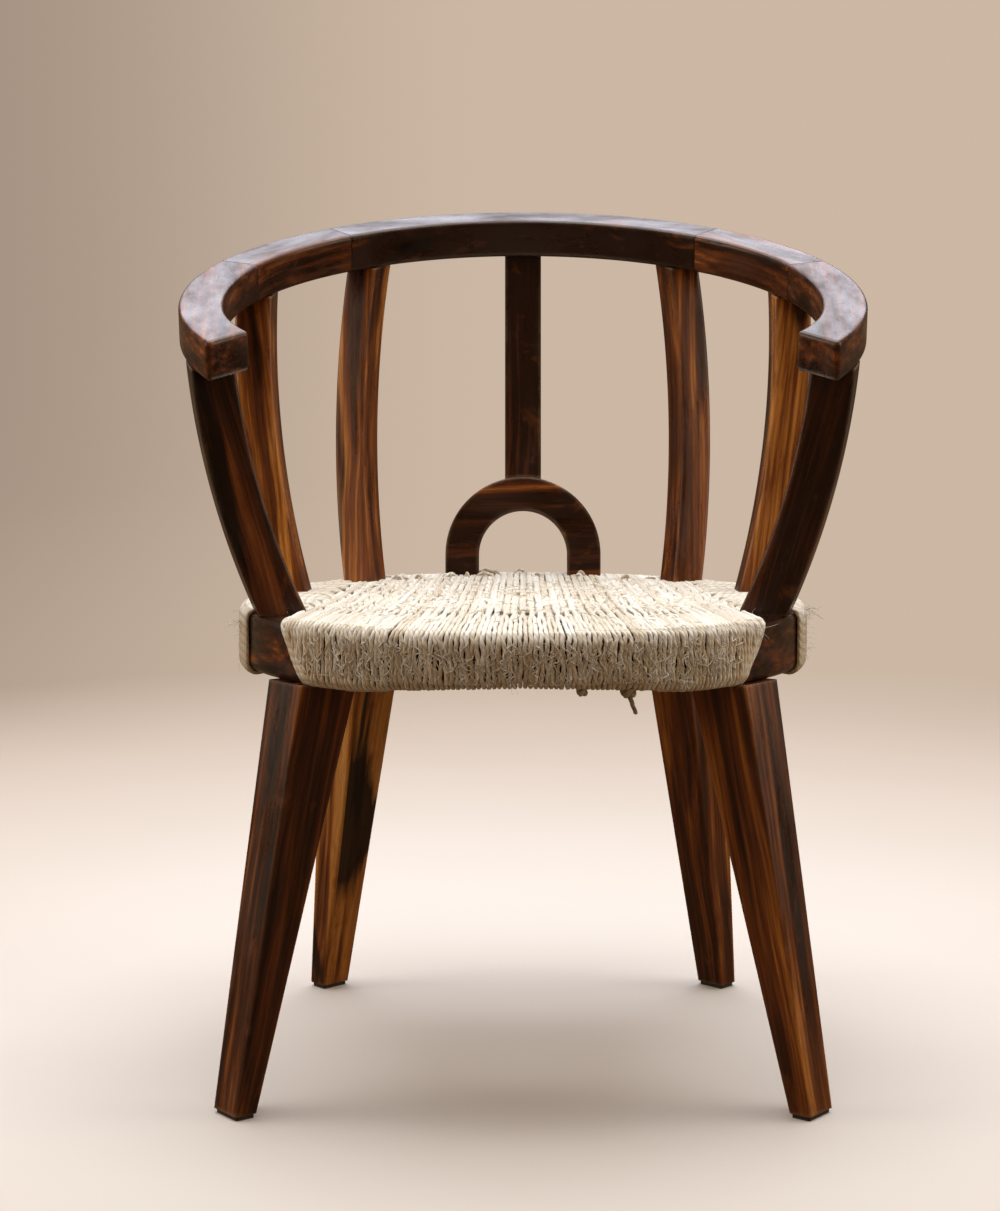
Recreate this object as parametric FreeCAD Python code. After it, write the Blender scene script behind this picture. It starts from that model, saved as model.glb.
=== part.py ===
import FreeCAD, Part
import math
import os

from FreeCAD import Placement, Rotation, Vector

# A round-backed armchair of dark polished wood with a seat of wound cord.
# The origin is on the floor under the middle of the chair's outline, +Z is up and the
# sitter faces -Y. Left is -X and right is +X, as seen by someone facing the chair.
# Lengths are millimetres and angles are degrees. An angle round the chair is counted
# from the middle of the back, positive towards the right.

# Turns
half_turn = 180.0
quarter_turn = 90.0

# The rail that makes the back and both arms, sawn in five lengths
rail_outer_radius = 300.0
rail_width = 39.0
rail_thickness = 35.0
rail_height = 683.0
rail_slope = 12.1
rail_edge_radius = 4.0
arm_outer_sweep = 119.0
arm_inner_sweep = 115.6
arm_hook = 5.0
arm_hook_sweep = 16.0
back_joint_angle = 38.0
arm_joint_angle = 67.0

# The round seat frame, sawn in four lengths
seat_outer_radius = 247.0
seat_rail_width = 46.0
seat_rail_height = 50.0
front_rail_height = 37.0
seat_height = 410.0
seat_tilt = 2.9
seat_edge_radius = 6.0
front_joint_angle = 146.0
rear_joint_angle = 56.0

# Dowels in the joints of the rail and of the seat frame
dowel_radius = 4.0
dowel_length = 36.0
dowel_spacing = 15.0
dowel_end_gap = 0.5

# Bowed posts between the seat frame and the rail. A post's turn is the way its outer face
# looks and its bow goes.
back_post_foot_angle = 41.5
back_post_head_angle = 31.3
back_post_turn = 61.0
back_post_depth = 31.0
back_post_width = 29.0
back_post_bow = 12.0
side_post_foot_angle = 70.4
side_post_head_angle = 60.7
side_post_turn = 81.0
side_post_depth = 34.0
side_post_width = 28.0
side_post_bow = 11.2
front_post_foot_angle = 112.0
front_post_head_angle = 108.3
front_post_turn = 103.5
front_post_depth = 38.5
front_post_width = 27.0
front_post_bow = 9.2
post_edge_radius = 3.0
post_tenon_radius = 8.0
post_tenon_length = 16.0

# The splat and the small arch that it stands on
splat_width = 34.5
splat_thickness = 20.0
splat_edge_radius = 2.0
arch_outer_radius = 74.3
arch_band = 32.0
arch_straight = 22.6
arch_thickness = 22.0
arch_edge_radius = 2.0
back_tenon_radius = 6.0
back_tenon_length = 14.0

# Legs, tapered mostly on their inner faces
front_leg_angle = 127.3
rear_leg_angle = 42.3
leg_top_radius = 223.5
front_foot_radius = 307.5
rear_foot_radius = 280.5
leg_top_depth = 58.0
leg_top_width = 51.0
leg_foot_depth = 22.0
front_foot_width = 36.5
rear_foot_width = 31.0
leg_edge_radius = 3.0
leg_tenon_radius = 12.0
leg_tenon_length = 18.0

# Pads under the feet
pad_height = 4.0
pad_inset = 2.0
pad_edge_radius = 2.0

# The cord that is wound round the seat frame and stretched across it
cord_layer = 5.0
cord_gap = 0.3
deck_sag = 4.0
front_wrap_angle = 126.0
front_wrap_lean = 29.0
cord_lip = 3.0
side_wrap_angle = 103.0
knot_angle = 159.1
knot_radius = 6.0
knot_tail_radius = 2.2
knot_tail_length = 15.0
knot_tail_lean = 20.0
lump_angle = 168.5
lump_radius = 4.5

# Fits, and the run past a face or an end that every cut has
joint_clearance = 0.1
overrun = 20.0
overrun_angle = 1.0

across = Vector(1, 0, 0)
up = Vector(0, 0, 1)
middle = Vector(0, 0, 0)

rail_inner_radius = rail_outer_radius - rail_width
rail_middle_radius = rail_outer_radius - rail_width / 2
seat_inner_radius = seat_outer_radius - seat_rail_width
seat_middle_radius = seat_outer_radius - seat_rail_width / 2
cord_outer_radius = seat_outer_radius + cord_layer
cord_inner_radius = seat_inner_radius - cord_layer
cord_edge_radius = seat_edge_radius + cord_layer


def sine(angle):
    return math.sin(math.radians(angle))


def cosine(angle):
    return math.cos(math.radians(angle))


def outline_middle():
    """The middle of the chair's outline, front to back, seen from the seat's centre."""
    rail_corner = rail_outer_radius - rail_edge_radius
    rail_depth = rail_thickness - rail_edge_radius
    back = rail_corner * cosine(rail_slope) + rail_depth * sine(rail_slope) + rail_edge_radius
    cord_corner = cord_outer_radius - cord_edge_radius
    cord_depth = front_rail_height + cord_layer - cord_edge_radius
    front = cord_corner * cosine(seat_tilt) + cord_depth * sine(seat_tilt) + cord_edge_radius
    return (back - front) / 2


seat_frame = Placement(Vector(0, -outline_middle(), seat_height), Rotation(across, -seat_tilt))
rail_frame = Placement(Vector(0, -outline_middle(), rail_height), Rotation(across, rail_slope))


def polar(radius, angle, height=0.0):
    return Vector(radius * sine(angle), radius * cosine(angle), height)


def placed(shape, frame):
    moved = shape.copy()
    moved.Placement = frame.multiply(shape.Placement)
    return moved


def mirrored(shape):
    return shape.mirror(middle, across)


def pie(radius, low, high, start, end):
    """A slice of a disc between two angles round the chair."""
    piece = Part.makeCylinder(radius, high - low, Vector(0, 0, low), up, end - start)
    piece.rotate(middle, up, quarter_turn - end)
    return piece


def peg(radius, spot, low, high):
    return Part.makeCylinder(radius, high - low, Vector(spot.x, spot.y, low), up)


def rounded_section(inner, outer, low, high, corner):
    """An upright rectangle with round corners, beside the Z axis."""
    turn = corner * cosine(quarter_turn / 2)
    points = []
    for x, z, side, level in (
        (outer, high, -1, -1),
        (inner, high, 1, -1),
        (inner, low, 1, 1),
        (outer, low, -1, 1),
    ):
        centre = Vector(x + side * corner, 0, z + level * corner)
        flank = Vector(x, 0, centre.z)
        cap = Vector(centre.x, 0, z)
        bend = centre + Vector(-side * turn, 0, -level * turn)
        points.append((flank, bend, cap) if side * level > 0 else (cap, bend, flank))
    edges = []
    for number, (first, bend, last) in enumerate(points):
        edges.append(Part.Arc(first, bend, last).toShape())
        following = points[(number + 1) % len(points)][0]
        edges.append(Part.LineSegment(last, following).toShape())
    return Part.Face(Part.Wire(Part.__sortEdges__(edges)))


def swept(section, start, end):
    """A section turned round the chair's axis between two angles."""
    face = section.copy()
    face.rotate(middle, up, quarter_turn - end)
    return face.revolve(middle, up, end - start)


def rounded(shape, radius, edges):
    return shape.makeFillet(radius, edges)


def tangent_arc(start, end):
    """An arc that leaves the start square to the line from the axis, and meets the end."""
    outward = Vector(start)
    outward.normalize()
    chord = end - start
    reach = chord.Length ** 2 / (2 * outward.dot(chord))
    centre = start + outward * reach
    bisector = (start - centre) + (end - centre)
    bisector.normalize()
    return Part.Arc(start, centre + bisector * abs(reach), end)


def whole_rail():
    outer_tip = [polar(rail_outer_radius, side * arm_outer_sweep) for side in (-1, 1)]
    inner_tip = [polar(rail_inner_radius - arm_hook, side * arm_inner_sweep) for side in (-1, 1)]
    hook_start = [
        polar(rail_inner_radius, side * (arm_inner_sweep - arm_hook_sweep)) for side in (-1, 1)
    ]
    edges = [
        Part.Arc(outer_tip[0], polar(rail_outer_radius, 0), outer_tip[1]).toShape(),
        Part.LineSegment(outer_tip[1], inner_tip[1]).toShape(),
        tangent_arc(hook_start[1], inner_tip[1]).toShape(),
        Part.Arc(hook_start[1], polar(rail_inner_radius, 0), hook_start[0]).toShape(),
        tangent_arc(hook_start[0], inner_tip[0]).toShape(),
        Part.LineSegment(inner_tip[0], outer_tip[0]).toShape(),
    ]
    plan = Part.Face(Part.Wire(Part.__sortEdges__(edges)))
    body = plan.extrude(Vector(0, 0, -rail_thickness))
    tips = outer_tip + inner_tip
    chosen = []
    for edge in body.Edges:
        flat = edge.BoundBox.ZLength < rail_edge_radius
        spot = Vector(edge.CenterOfMass.x, edge.CenterOfMass.y, 0)
        at_tip = min((spot - tip).Length for tip in tips) < rail_edge_radius
        if flat or at_tip:
            chosen.append(edge)
    return rounded(body, rail_edge_radius, chosen)


def post_layout():
    """Each kind of post: its name, its angles, its section and its bow."""
    return (
        ("back_post", back_post_foot_angle, back_post_head_angle, back_post_turn,
         back_post_depth, back_post_width, back_post_bow),
        ("side_post", side_post_foot_angle, side_post_head_angle, side_post_turn,
         side_post_depth, side_post_width, side_post_bow),
        ("front_post", front_post_foot_angle, front_post_head_angle, front_post_turn,
         front_post_depth, front_post_width, front_post_bow),
    )


def leg_layout():
    return (
        ("front_leg", front_leg_angle, front_foot_radius, front_foot_width),
        ("rear_leg", rear_leg_angle, rear_foot_radius, rear_foot_width),
    )


def frame_from(origin, first, second):
    """A placement whose X and Y run along two square directions."""
    third = first.cross(second)
    matrix = FreeCAD.Matrix(
        first.x, second.x, third.x, origin.x,
        first.y, second.y, third.y, origin.y,
        first.z, second.z, third.z, origin.z,
        0, 0, 0, 1,
    )
    return Placement(matrix)


def below_seat():
    size = 2 * rail_outer_radius
    block = Part.makeBox(2 * size, 2 * size, size, Vector(-size, -size, -size))
    return placed(block, seat_frame)


def above_seat_underside():
    size = 2 * rail_outer_radius
    block = Part.makeBox(2 * size, 2 * size, size, Vector(-size, -size, -seat_rail_height))
    return placed(block, seat_frame)


def above_rail_underside():
    size = 2 * rail_outer_radius
    block = Part.makeBox(2 * size, 2 * size, size, Vector(-size, -size, -rail_thickness))
    return placed(block, rail_frame)


def bowed_bar(foot, head, turn, depth, width, bow):
    """A bar with a rectangular section that bows outward between two points."""
    outward = polar(1, turn)
    along = head - foot
    span = along.Length
    along.normalize()
    side = outward - along * outward.dot(along)
    side.normalize()
    radius = (span ** 2 / 4 + bow ** 2) / (2 * bow)
    half = math.degrees(math.asin(span / (2 * radius)) + overrun / radius)
    section = rounded_section(radius - depth / 2, radius + depth / 2, -width / 2, width / 2,
                              post_edge_radius)
    # Faces turned into splines give the cut bar a closed mesh at any fineness.
    body = swept(section, -half, half).toNurbs()
    body.translate(Vector(span / 2, bow - radius, 0))
    return placed(body, frame_from(foot, along, side))


def post_bar(foot_angle, head_angle, turn, depth, width, bow):
    foot = seat_frame.multVec(polar(seat_middle_radius, foot_angle))
    head = rail_frame.multVec(polar(rail_middle_radius, head_angle, -rail_thickness))
    return bowed_bar(foot, head, turn, depth, width, bow).cut(below_seat())


def post(foot_angle, head_angle, turn, depth, width, bow):
    bar = post_bar(foot_angle, head_angle, turn, depth, width, bow).cut(above_rail_underside())
    root = post_tenon_length / 2
    low = peg(post_tenon_radius, polar(seat_middle_radius, foot_angle), -post_tenon_length, root)
    high = peg(post_tenon_radius, polar(rail_middle_radius, head_angle), -rail_thickness - root,
               post_tenon_length - rail_thickness)
    return bar.fuse([placed(low, seat_frame), placed(high, rail_frame)]).removeSplitter()


def splat_frame():
    """Stands on the seat frame's middle at the back, and leans to meet the rail."""
    foot = seat_frame.multVec(polar(seat_middle_radius, 0))
    head = rail_frame.multVec(polar(rail_middle_radius, 0, -rail_thickness))
    rise = head - foot
    rise.normalize()
    return frame_from(foot, across, rise)


def arch_outline(radius):
    foot = -overrun
    left, right = Vector(-radius, foot, 0), Vector(radius, foot, 0)
    left_spring, right_spring = Vector(-radius, arch_straight, 0), Vector(radius, arch_straight, 0)
    crown = Vector(0, arch_straight + radius, 0)
    edges = [
        Part.LineSegment(left, left_spring).toShape(),
        Part.Arc(left_spring, crown, right_spring).toShape(),
        Part.LineSegment(right_spring, right).toShape(),
        Part.LineSegment(right, left).toShape(),
    ]
    return Part.Face(Part.Wire(edges))


def splat_arch():
    band = arch_outline(arch_outer_radius).cut(arch_outline(arch_outer_radius - arch_band))
    band.translate(Vector(0, 0, -arch_thickness / 2))
    body = band.extrude(Vector(0, 0, arch_thickness))
    level = [
        edge for edge in body.Edges
        if edge.BoundBox.ZLength < arch_edge_radius and edge.BoundBox.YMax > 0
        and edge.Length > overrun
    ]
    body = rounded(Part.Solid(body.Shells[0]), arch_edge_radius, level)
    body = placed(body, splat_frame()).cut(below_seat())
    tenons = []
    for x in (-1, 1):
        spot = arch_tenon_spot(x)
        tenons.append(placed(peg(back_tenon_radius, spot, -back_tenon_length,
                                 back_tenon_length / 2), seat_frame))
    body = body.fuse(tenons).removeSplitter()
    return body.cut(placed(splat_tenon(joint_clearance), splat_frame()))


def arch_tenon_spot(side):
    return Vector(side * (arch_outer_radius - arch_band / 2), seat_middle_radius, 0)


def splat_tenon(clearance):
    """The splat's foot tenon, sunk in the crown of the arch."""
    crown = arch_straight + arch_outer_radius
    length = back_tenon_length + splat_thickness / 2 + clearance
    start = Vector(0, crown - back_tenon_length - clearance, 0)
    return Part.makeCylinder(back_tenon_radius + clearance, length, start, Vector(0, 1, 0))


def centre_splat():
    head = rail_frame.multVec(polar(rail_middle_radius, 0, -rail_thickness))
    foot = seat_frame.multVec(polar(seat_middle_radius, 0))
    rise = (head - foot).Length
    body = Part.makeBox(splat_width, rise + overrun - arch_straight, splat_thickness,
                        Vector(-splat_width / 2, arch_straight, -splat_thickness / 2))
    long_edges = [edge for edge in body.Edges if edge.Length > rise / 2]
    body = rounded(body, splat_edge_radius, long_edges)
    saddle = Part.makeCylinder(arch_outer_radius, 2 * splat_thickness,
                               Vector(0, arch_straight, -splat_thickness), up)
    body = placed(body.cut(saddle).fuse(splat_tenon(0)), splat_frame())
    body = body.cut(above_rail_underside())
    tenon = peg(back_tenon_radius, polar(rail_middle_radius, 0),
                -rail_thickness - back_tenon_length / 2, back_tenon_length - rail_thickness)
    return body.fuse(placed(tenon, rail_frame)).removeSplitter()


def joint_dowels(angle, radius, level, clearance):
    """Two dowels across the joint at an angle round the chair, one over the other."""
    along = polar(1, angle + quarter_turn)
    length = dowel_length + 2 * (dowel_end_gap if clearance else 0)
    found = []
    for step in (-1, 1):
        centre = polar(radius, angle, level + step * dowel_spacing / 2)
        start = centre - along * (length / 2)
        found.append(Part.makeCylinder(dowel_radius + clearance, length, start, along))
    return found


def rail_dowel_set(clearance):
    found = []
    for angle in (back_joint_angle, arm_joint_angle):
        for side in (-1, 1):
            found += joint_dowels(side * angle, rail_middle_radius, -rail_thickness / 2, clearance)
    return found


def seat_dowel_set(clearance):
    found = []
    for angle, height in (
        (front_joint_angle, front_rail_height),
        (rear_joint_angle, seat_rail_height),
    ):
        for side in (-1, 1):
            found += joint_dowels(side * angle, seat_middle_radius, -height / 2, clearance)
    return found


def rail_mortises():
    found = rail_dowel_set(joint_clearance)
    for _, _, head_angle, *_ in post_layout():
        for side in (-1, 1):
            spot = polar(rail_middle_radius, side * head_angle)
            found.append(peg(post_tenon_radius + joint_clearance, spot,
                             -rail_thickness - overrun,
                             post_tenon_length + joint_clearance - rail_thickness))
    found.append(peg(back_tenon_radius + joint_clearance, polar(rail_middle_radius, 0),
                     -rail_thickness - overrun,
                     back_tenon_length + joint_clearance - rail_thickness))
    return found


def seat_mortises():
    found = seat_dowel_set(joint_clearance)
    for _, foot_angle, *_ in post_layout():
        for side in (-1, 1):
            spot = polar(seat_middle_radius, side * foot_angle)
            found.append(peg(post_tenon_radius + joint_clearance, spot,
                             -post_tenon_length - joint_clearance, overrun))
    for _, angle, *_ in leg_layout():
        for side in (-1, 1):
            spot = polar(leg_top_radius, side * angle)
            found.append(peg(leg_tenon_radius + joint_clearance, spot,
                             -seat_rail_height - overrun,
                             leg_tenon_length + joint_clearance - seat_rail_height))
    for side in (-1, 1):
        found.append(peg(back_tenon_radius + joint_clearance, arch_tenon_spot(side),
                         -back_tenon_length - joint_clearance, overrun))
    return found


def rail_pieces():
    body = whole_rail().cut(rail_mortises())
    spans = (
        ("rail_back", -back_joint_angle, back_joint_angle),
        ("rail_shoulder_right", back_joint_angle, arm_joint_angle),
        ("rail_arm_right", arm_joint_angle, half_turn),
        ("rail_shoulder_left", -arm_joint_angle, -back_joint_angle),
        ("rail_arm_left", -half_turn, -arm_joint_angle),
    )
    reach = rail_outer_radius + overrun
    found = {}
    for name, start, end in spans:
        piece = body.common(pie(reach, -rail_thickness - overrun, overrun, start, end))
        found[name] = placed(piece, rail_frame)
    return found


def seat_section(height, growth):
    return rounded_section(seat_inner_radius - growth, seat_outer_radius + growth,
                           -height - growth, growth, seat_edge_radius + growth)


def seat_pieces():
    spans = (
        ("seat_rail_back", seat_rail_height, -rear_joint_angle, rear_joint_angle),
        ("seat_rail_right", seat_rail_height, rear_joint_angle, front_joint_angle),
        ("seat_rail_front", front_rail_height, front_joint_angle,
         2 * half_turn - front_joint_angle),
        ("seat_rail_left", seat_rail_height, -front_joint_angle, -rear_joint_angle),
    )
    mortises = seat_mortises()
    found = {}
    for name, height, start, end in spans:
        piece = swept(seat_section(height, 0), start, end).cut(mortises)
        found[name] = placed(piece, seat_frame)
    return found


def leg_ring(centre, angle, depth, width):
    """A level rectangle round a point of the leg, lined up with the seat's radius."""
    outward = polar(1, angle)
    sideways = polar(1, angle + quarter_turn)
    corners = []
    for out, aside in ((1, 1), (1, -1), (-1, -1), (-1, 1)):
        corners.append(centre + outward * (out * depth / 2) + sideways * (aside * width / 2))
    return Part.makePolygon(corners + corners[:1])


def foot_centre(angle, foot_radius, height):
    return polar(foot_radius, angle, height) + Vector(0, seat_frame.Base.y, 0)


def leg_bar(angle, foot_radius, foot_width, depth_growth, width_growth):
    """The tapered part of a leg, from its pad to the underside of the seat frame."""
    low = foot_centre(angle, foot_radius, pad_height)
    rise = seat_frame.multVec(polar(leg_top_radius, angle, -seat_rail_height)) - low
    rings = []
    for share in (0, 1 + overrun / rise.z):
        depth = leg_foot_depth + share * (leg_top_depth - leg_foot_depth) + depth_growth
        width = foot_width + share * (leg_top_width - foot_width) + width_growth
        rings.append(leg_ring(low + rise * share, angle, depth, width))
    body = Part.makeLoft(rings, True, True)
    arrises = [edge for edge in body.Edges if edge.Length > rise.z / 2]
    return rounded(body, leg_edge_radius, arrises).cut(above_seat_underside())


def leg(angle, foot_radius, foot_width):
    body = leg_bar(angle, foot_radius, foot_width, 0, 0)
    root = leg_tenon_length / 2
    tenon = peg(leg_tenon_radius, polar(leg_top_radius, angle), -seat_rail_height - root,
                leg_tenon_length - seat_rail_height)
    return body.fuse(placed(tenon, seat_frame)).removeSplitter()


def foot_pad(angle, foot_radius, foot_width):
    ring = leg_ring(foot_centre(angle, foot_radius, 0), angle, leg_foot_depth - 2 * pad_inset,
                    foot_width - 2 * pad_inset)
    body = Part.Face(ring).extrude(Vector(0, 0, pad_height))
    upright = [edge for edge in body.Edges if edge.BoundBox.ZLength > pad_height / 2]
    return rounded(body, pad_edge_radius, upright)


def post_shadow():
    """Room in the cord for every post and both feet of the arch."""
    rooms = []
    back_into_seat = seat_frame.inverse()
    for _, foot_angle, head_angle, turn, depth, width, bow in post_layout():
        room = post_bar(foot_angle, head_angle, turn, depth + 2 * cord_layer,
                        width + 2 * cord_gap, bow)
        rooms += [placed(room, back_into_seat), placed(mirrored(room), back_into_seat)]
    for side in (-1, 1):
        spot = arch_tenon_spot(side)
        room = Part.makeBox(arch_band + 2 * cord_gap, arch_thickness + 2 * cord_layer, overrun,
                            Vector(spot.x - arch_band / 2 - cord_gap,
                                   spot.y - arch_thickness / 2 - cord_layer, 0))
        rooms.append(room)
    return rooms


def leg_shadow():
    """Room in the cord under the seat frame for the heads of the legs."""
    rooms = []
    back_into_seat = seat_frame.inverse()
    for _, *values in leg_layout():
        room = leg_bar(*values, 2 * cord_layer, 2 * cord_gap)
        for shape in (room, mirrored(room)):
            raised = placed(shape, back_into_seat)
            raised.translate(Vector(0, 0, cord_gap))
            rooms.append(raised)
    return rooms


def cord_sleeve(height, start, end):
    skin = swept(seat_section(height, cord_layer), start, end)
    core = swept(seat_section(height, cord_gap), start - overrun_angle, end + overrun_angle)
    return skin.cut(core)


def front_winding():
    """Wound round the front rail and on over the deeper ends of its neighbours, whose
    undersides stay bare."""
    body = cord_sleeve(front_rail_height, front_joint_angle, 2 * half_turn - front_joint_angle)
    end = cord_sleeve(seat_rail_height, front_wrap_angle, front_joint_angle)
    size = 2 * rail_outer_radius
    bare = Part.makeBox(2 * size, 2 * size, size,
                        Vector(-size, -size, cord_lip - seat_rail_height - size))
    end = end.cut([bare, leaning_cutter()])
    return body.fuse([end, mirrored(end)]).removeSplitter()


def leaning_cutter():
    """Trims the right end of the front winding, whose last cord leans in as it goes down."""
    size = 2 * seat_rail_height
    block = Part.makeBox(2 * size, size, 2 * size, Vector(-size, 0, -size))
    block.rotate(middle, across, front_wrap_lean)
    block.rotate(middle, up, quarter_turn - front_wrap_angle)
    block.translate(polar(seat_middle_radius, front_wrap_angle, cord_layer))
    return block


def cord_pieces():
    rooms = post_shadow() + leg_shadow()
    found = {}
    found["cord_wrap_front"] = front_winding().cut(rooms)
    back = cord_sleeve(seat_rail_height, -back_post_foot_angle, back_post_foot_angle)
    found["cord_wrap_back"] = back.cut(rooms)
    spans = (
        ("cord_wrap_side", side_post_foot_angle, side_wrap_angle),
        ("cord_wrap_shoulder", back_post_foot_angle, side_post_foot_angle),
    )
    for name, start, end in spans:
        piece = cord_sleeve(seat_rail_height, start, end).cut(rooms)
        found[name + "_right"] = piece
        found[name + "_left"] = mirrored(piece)
    found["cord_deck"] = cord_sheet(cord_layer)
    found["cord_deck_underside"] = cord_sheet(cord_layer - front_rail_height)
    return {name: placed(piece, seat_frame) for name, piece in found.items()}


def cord_sheet(top):
    """The stretched cord inside the frame, a little lower in the middle than at its edge."""
    edge = cord_inner_radius - cord_gap
    thickness = 2 * cord_layer
    bowl_radius = (edge ** 2 + deck_sag ** 2) / (2 * deck_sag)
    depth = thickness + deck_sag
    disc = Part.makeCylinder(edge, depth, Vector(0, 0, top - depth), up)
    bowl = Part.makeSphere(bowl_radius, Vector(0, 0, top - deck_sag + bowl_radius), across)
    belly = bowl.translated(Vector(0, 0, -thickness))
    return disc.cut(bowl).common(belly)


def knot(angle, radius, tail_length):
    """A knot of the cord's end under the front winding, with its tail if it has one."""
    level = -front_rail_height - cord_layer - cord_gap - radius
    centre = polar(seat_outer_radius - seat_edge_radius, angle, level)
    body = Part.makeSphere(radius, centre)
    if tail_length:
        lean = Vector(sine(knot_tail_lean), 0, -cosine(knot_tail_lean))
        tail = Part.makeCylinder(knot_tail_radius, radius + tail_length, centre, lean)
        body = body.fuse(tail).removeSplitter()
    return placed(body, seat_frame)


def all_pieces():
    found = {}
    found.update(rail_pieces())
    found.update(seat_pieces())
    for name, *values in post_layout():
        piece = post(*values)
        found[name + "_right"] = piece
        found[name + "_left"] = mirrored(piece)
    found["splat_arch"] = splat_arch()
    found["centre_splat"] = centre_splat()
    for name, *values in leg_layout():
        piece = leg(*values)
        pad = foot_pad(*values)
        found[name + "_right"] = piece
        found[name + "_left"] = mirrored(piece)
        found[name + "_pad_right"] = pad
        found[name + "_pad_left"] = mirrored(pad)
    found["rail_dowels"] = placed(Part.makeCompound(rail_dowel_set(0)), rail_frame)
    found["seat_dowels"] = placed(Part.makeCompound(seat_dowel_set(0)), seat_frame)
    found.update(cord_pieces())
    found["cord_end_knot"] = knot(knot_angle, knot_radius, knot_tail_length)
    found["cord_lump"] = knot(lump_angle, lump_radius, 0)
    return found


os.makedirs("parts", exist_ok=True)
for node, shape in all_pieces().items():
    shape.exportStep("parts/" + node + ".step")
    print(node, len(shape.Solids), round(shape.Volume), shape.isValid())
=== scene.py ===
import math
import random

import bpy
import numpy as np
from mathutils import Matrix, Vector


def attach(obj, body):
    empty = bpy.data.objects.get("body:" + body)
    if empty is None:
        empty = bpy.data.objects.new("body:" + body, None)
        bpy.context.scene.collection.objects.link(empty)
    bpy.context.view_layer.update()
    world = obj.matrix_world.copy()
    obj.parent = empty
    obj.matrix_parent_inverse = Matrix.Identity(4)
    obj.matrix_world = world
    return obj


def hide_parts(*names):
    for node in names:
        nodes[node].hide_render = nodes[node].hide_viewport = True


# A round-backed armchair of dark polished wood with a seat of wound cord, dressed for a
# studio picture. Lengths are metres and angles are degrees, and an angle round the chair is
# counted from the middle of the back, positive towards the right.

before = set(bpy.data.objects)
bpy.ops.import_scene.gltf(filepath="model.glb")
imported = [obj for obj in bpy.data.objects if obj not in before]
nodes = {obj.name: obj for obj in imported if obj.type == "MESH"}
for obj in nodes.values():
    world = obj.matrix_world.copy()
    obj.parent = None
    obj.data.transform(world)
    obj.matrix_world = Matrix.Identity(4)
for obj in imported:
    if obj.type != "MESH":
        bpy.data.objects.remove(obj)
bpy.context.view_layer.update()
dice = random.Random(11)

# The photograph's view. The picture's height, the focus and the shift are in pixels, and the
# sensor's side is in millimetres.
picture_height = 1211
camera_place = Vector((0, -2.7357, 0.8476))
camera_pitch = 9.2
camera_focus = 3092.6
camera_sideways = 23.0
camera_sensor = 36.0

# Where the seat and the rail lie
outline_middle = 0.02333
seat_height = 0.410
seat_tilt = 2.9
rail_height = 0.683
rail_slope = 12.1
rail_middle_radius = 0.2805
rail_joints = (-67.0, -38.0, 38.0, 67.0)

# The seat frame that the cord is wound on, and how deep the front winding is on it, in its
# middle and from corner_offset degrees on
ring_outer = 0.247
ring_inner = 0.201
ring_depth = 0.050
ring_edge = 0.006
front_ring_depth = 0.039
corner_wrap_depth = 0.047
corner_offset = 36.0
corner_power = 1.5

# How steeply the front strands go down under the frame's deeper corners, and from how many
# degrees off the middle
corner_dip = 0.21
corner_dip_start = 24.0
corner_dip_blend = 6.0

# The cord, whose middle lies cord_rest off the frame, and the shares by which its thickness
# varies
cord_radius = 0.0020
cord_rest = 0.0025
radius_spread = (0.88, 1.08)
radius_wander = 0.16
radius_wave = 0.05
point_spacing = 0.0035

# The strands run front to back over side to side, and round the frame between these angles
front_strands = 110
side_strands = 68
front_wrap_angle = 125.2
back_wrap_angle = 38.0
side_wrap_front = 106.5
side_wrap_back = 41.5

# The weave: strands in a bundle, how far they dip, the share of slips, how soft a change is,
# and how the dip fades out at the seat's edge
front_bundle = 2
side_bundle = 4
deck_sag = 0.004
weave_depth = 0.0027
weave_slips = 0.10
weave_softness = 0.34
weave_edge = 0.008
weave_blend = 0.012

# The winding's face: how its ends lean and gather, its points, and how its strands wander
wrap_lean = 0.025
wrap_gather = 0.25
wrap_lean_limit = 1.2
bend_points = 6
wall_points = 5
face_wobble = 0.42
face_wobble_wave = 0.03
face_bulge = 0.0006
face_bulge_wave = 0.035
face_spacing = 0.004

# Gaps in the winding's face, and slits between pairs of strands where the weave begins
gap_angles = (158.9, 172.1, 205.8, 221.0)
gap_width = 0.16
gap_reach = 4.0
slit_place = -0.080
slit_width = 0.022
slit_pinch = 0.0017
weave_pinch = 0.0005

# The strands on the seat and below it: points, wander sideways and up and down with the
# lengths of its waves, and the rise of the lower strands
front_points = 112
front_wander = 0.0006
front_wave = 0.11
front_lift = 0.0005
front_lift_wave = 0.07
front_low_points = 42
front_low_rise = 0.005
side_points = 100
side_wander = 0.0006
side_wave = 0.12
side_lift = 0.0004
side_lift_wave = 0.08
side_low_points = 22
side_low_rise = 0.012

seat_frame = Matrix.Translation((0, -outline_middle, seat_height))
seat_frame = seat_frame @ Matrix.Rotation(math.radians(-seat_tilt), 4, "X")
rail_frame = Matrix.Translation((0, -outline_middle, rail_height))
rail_frame = rail_frame @ Matrix.Rotation(math.radians(rail_slope), 4, "X")


def sine(angle):
    return math.sin(math.radians(angle))


def cosine(angle):
    return math.cos(math.radians(angle))


def polar(radius, angle, height=0.0):
    return Vector((radius * sine(angle), radius * cosine(angle), height))


# Node trees


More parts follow.
